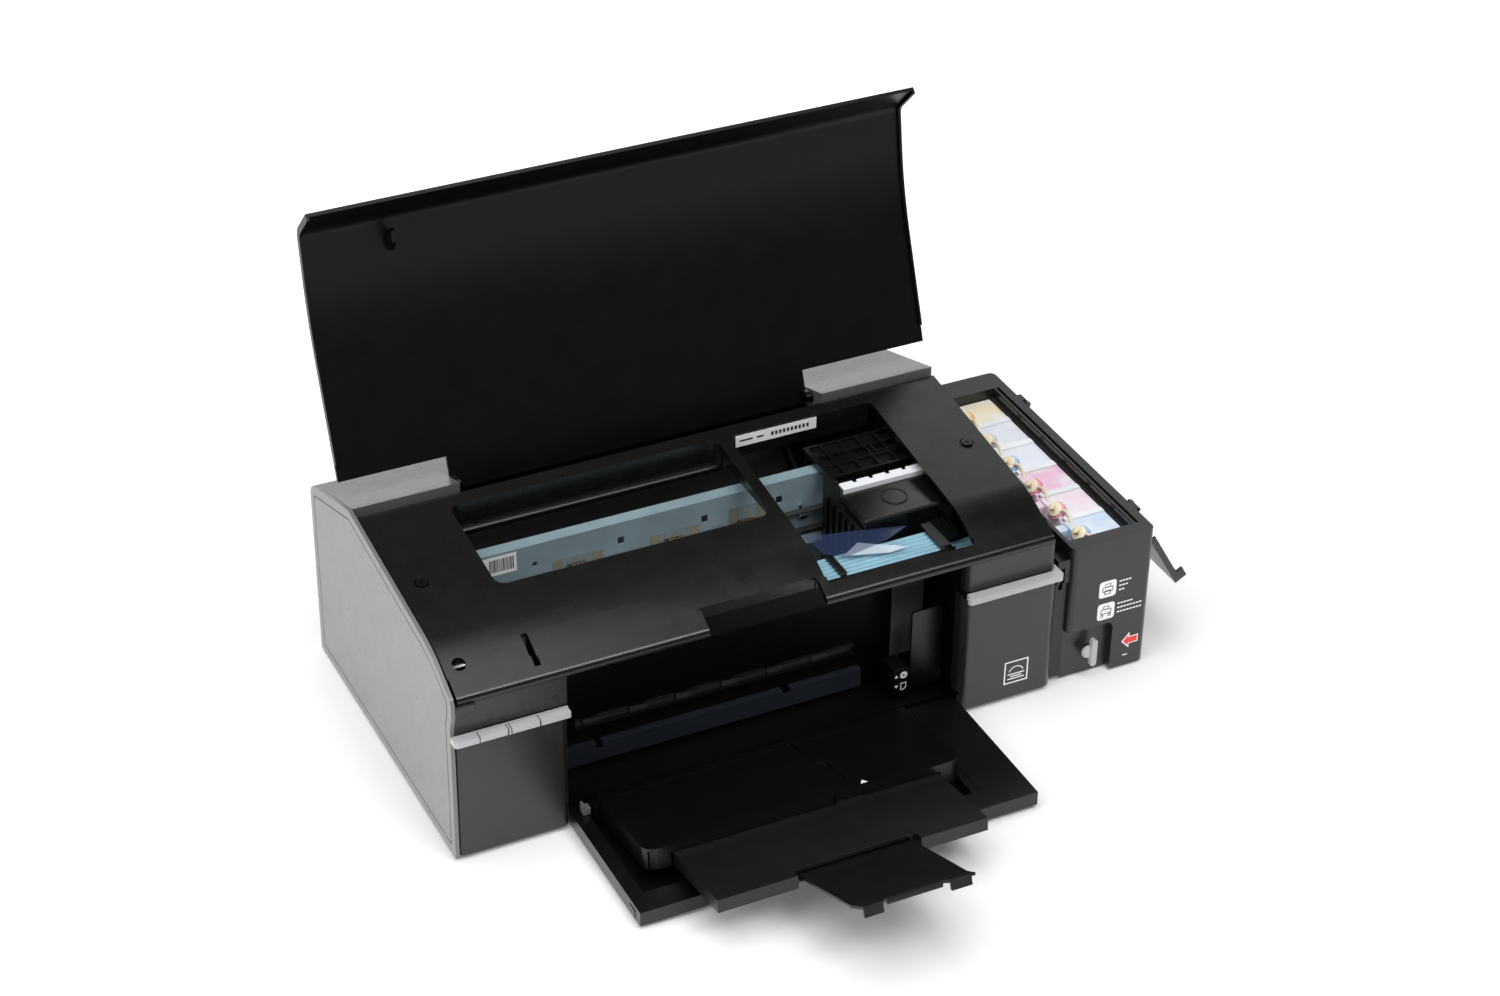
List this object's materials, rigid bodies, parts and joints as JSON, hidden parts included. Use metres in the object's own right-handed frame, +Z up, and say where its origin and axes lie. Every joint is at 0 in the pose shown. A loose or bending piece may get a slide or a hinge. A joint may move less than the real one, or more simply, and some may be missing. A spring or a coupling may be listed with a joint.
{
  "type": "inkjet printer",
  "caption": "Desktop inkjet printer with open top cover, lowered front door, sloped paper tray with pull-out stopper, and a bank of ink tanks on one side.",
  "frame": {"origin": "bottom centre of the box round the object at rest, on the surface it stands on", "axes": "+X to the right seen from the front, +Y to the back, +Z up"},
  "size_m": [0.5725, 0.487, 0.3673],
  "materials": {
    "black_shell": "fine textured black plastic",
    "charcoal_shell": "fine textured charcoal plastic",
    "side_grey": "satin light grey plastic",
    "satin_black": "satin black plastic",
    "silver_trim": "satin silver paint",
    "zinc_steel": "galvanised sheet steel",
    "bright_steel": "ground steel",
    "rubber": "soft rubber",
    "tube_blue": "translucent light blue tube",
    "ink_bottle": "translucent plastic",
    "cream_plug": "cream soft plastic",
    "board": "green circuit board",
    "clear_film": "clear film",
    "white_clip": "white plastic"
  },
  "bodies": {
    "printer": {"base_pan": "black_shell", "rubber_feet": "rubber", "left_side_panel": "side_grey", "right_side_panel": "charcoal_shell", "upper_housing": "charcoal_shell", "housing_screws": "zinc_steel", "rear_cover": "black_shell", "rear_cap_left": "side_grey", "rear_cap_right": "side_grey", "left_front_panel": "charcoal_shell", "right_front_panel": "charcoal_shell", "left_fascia": "charcoal_shell", "right_fascia": "charcoal_shell", "left_trim": "silver_trim", "right_trim": "silver_trim", "opening_liner": "charcoal_shell", "front_beam": "zinc_steel", "main_frame": "zinc_steel", "carriage_shaft": "bright_steel", "encoder_strip": "clear_film", "timing_belt": "rubber", "carriage_motor": "zinc_steel", "tube_ribbon": "tube_blue", "platen": "black_shell", "feed_motor": "zinc_steel", "feed_belt": "rubber", "capping_station": "black_shell", "power_supply": "black_shell", "main_board": "board", "power_inlet": "black_shell", "usb_port": "bright_steel", "paper_chute": "black_shell", "tank_housing": "charcoal_shell", "tank_bracket": "black_shell", "ink_tanks": "ink_bottle", "tank_plugs": "cream_plug"},
    "cover": {"top_cover": "satin_black"},
    "door": {"front_door": "black_shell"},
    "tray": {"output_tray": "black_shell"},
    "extension": {"tray_extension": "charcoal_shell"},
    "guide": {"stopper_guide": "black_shell"},
    "stopper": {"paper_stopper": "black_shell"},
    "power_key": {"power_button": "silver_trim"},
    "ink_key": {"ink_button": "silver_trim"},
    "paper_key": {"paper_button": "silver_trim"},
    "tank_lid": {"tank_cover": "charcoal_shell"},
    "valve": {"valve_knob": "silver_trim"},
    "carriage_group": {"carriage": "black_shell", "print_head": "zinc_steel", "carriage_cover": "satin_black", "clamp_strip": "white_clip", "tube_loop": "tube_blue"},
    "pulley_right": {"motor_pulley": "bright_steel"},
    "pulley_left": {"idler_pulley": "white_clip"},
    "feed": {"feed_roller": "bright_steel"},
    "exit": {"exit_roller": "rubber"},
    "stars": {"star_wheels": "zinc_steel"},
    "pinion": {"feed_pinion": "bright_steel"},
    "support": {"paper_support": "side_grey"},
    "side_guide": {"edge_guide": "charcoal_shell"}
  },
  "joints": [
    {"name": "cover_hinge", "type": "hinge", "parent": "printer", "child": "cover", "pos_m": [-0.05813, 0.17767, 0.1605], "axis": [1, 0, 0], "range_deg": [0, 112]},
    {"name": "door_hinge", "type": "hinge", "parent": "printer", "child": "door", "pos_m": [-0.05813, -0.01333, 0.0095], "axis": [-1, 0, 0], "range_deg": [0, 90]},
    {"name": "tray_lift", "type": "slide", "parent": "door", "child": "tray", "axis": [0, 0, 1], "range_m": [0, 0.01]},
    {"name": "extension_slide", "type": "slide", "parent": "tray", "child": "extension", "axis": [0, 0.9877, -0.1564], "range_m": [0, 0.066]},
    {"name": "stopper_tilt", "type": "hinge", "parent": "extension", "child": "guide", "pos_m": [-0.05813, -0.1632, 0.03394], "axis": [1, 0, 0], "range_deg": [0, 13]},
    {"name": "stopper_slide", "type": "slide", "parent": "guide", "child": "stopper", "axis": [0, 0.9272, -0.3746], "range_m": [0, 0.068]},
    {"name": "power_press", "type": "slide", "parent": "printer", "child": "power_key", "axis": [0, 0, -1], "range_m": [0, 0.0015], "stiffness_N_per_m": 300},
    {"name": "ink_press", "type": "slide", "parent": "printer", "child": "ink_key", "axis": [0, 0, -1], "range_m": [0, 0.0015], "stiffness_N_per_m": 300},
    {"name": "paper_press", "type": "slide", "parent": "printer", "child": "paper_key", "axis": [0, 0, -1], "range_m": [0, 0.0015], "stiffness_N_per_m": 300},
    {"name": "tank_cover_hinge", "type": "hinge", "parent": "printer", "child": "tank_lid", "pos_m": [0.25038, 0.09367, 0.113], "axis": [0, -1, 0], "range_deg": [0, 240]},
    {"name": "valve_turn", "type": "hinge", "parent": "printer", "child": "valve", "pos_m": [0.20137, -0.01733, 0.023], "axis": [0, 1, 0], "range_deg": [0, 90]},
    {"name": "carriage_slide", "type": "slide", "parent": "printer", "child": "carriage_group", "axis": [-1, 0, 0], "range_m": [0, 0.288], "deforming": ["tube_loop"]},
    {"name": "motor_pulley_spin", "type": "hinge", "parent": "printer", "child": "pulley_right", "pos_m": [0.14688, 0.10568, 0.108], "axis": [0, 1, 0], "range_deg": [0, 2357.81]},
    {"name": "idler_pulley_spin", "type": "hinge", "parent": "printer", "child": "pulley_left", "pos_m": [-0.26312, 0.10568, 0.108], "axis": [0, 1, 0], "range_deg": [0, 2357.81]},
    {"name": "feed_roller_spin", "type": "hinge", "parent": "printer", "child": "feed", "pos_m": [-0.05813, 0.11568, 0.041], "axis": [1, 0, 0], "continuous": true},
    {"name": "exit_roller_spin", "type": "hinge", "parent": "printer", "child": "exit", "pos_m": [-0.05813, 0.04467, 0.034], "axis": [1, 0, 0], "continuous": true},
    {"name": "star_wheel_spin", "type": "hinge", "parent": "printer", "child": "stars", "pos_m": [-0.05813, 0.04467, 0.0442], "axis": [1, 0, 0], "continuous": true},
    {"name": "feed_pinion_spin", "type": "hinge", "parent": "printer", "child": "pinion", "pos_m": [-0.26613, 0.08067, 0.023], "axis": [1, 0, 0], "continuous": true},
    {"name": "support_hinge", "type": "hinge", "parent": "printer", "child": "support", "pos_m": [-0.05813, 0.23567, 0.137], "axis": [-1, 0, 0], "range_deg": [0, 100]},
    {"name": "side_guide_slide", "type": "slide", "parent": "printer", "child": "side_guide", "axis": [1, 0, 0], "range_m": [0, 0.15]}
  ],
  "couplings": [
    {"joint": "extension_slide", "follows": "door_hinge", "m_per_rad": 0.042013},
    {"joint": "stopper_tilt", "follows": "door_hinge", "ratio": 0.14443},
    {"joint": "stopper_slide", "follows": "door_hinge", "m_per_rad": 0.043286},
    {"joint": "exit_roller_spin", "follows": "feed_roller_spin", "ratio": 2},
    {"joint": "star_wheel_spin", "follows": "feed_roller_spin", "ratio": -1.9231},
    {"joint": "feed_pinion_spin", "follows": "feed_roller_spin", "ratio": 3.5},
    {"joint": "motor_pulley_spin", "follows": "carriage_slide", "rad_per_m": 142.84},
    {"joint": "idler_pulley_spin", "follows": "carriage_slide", "rad_per_m": 142.84}
  ]
}
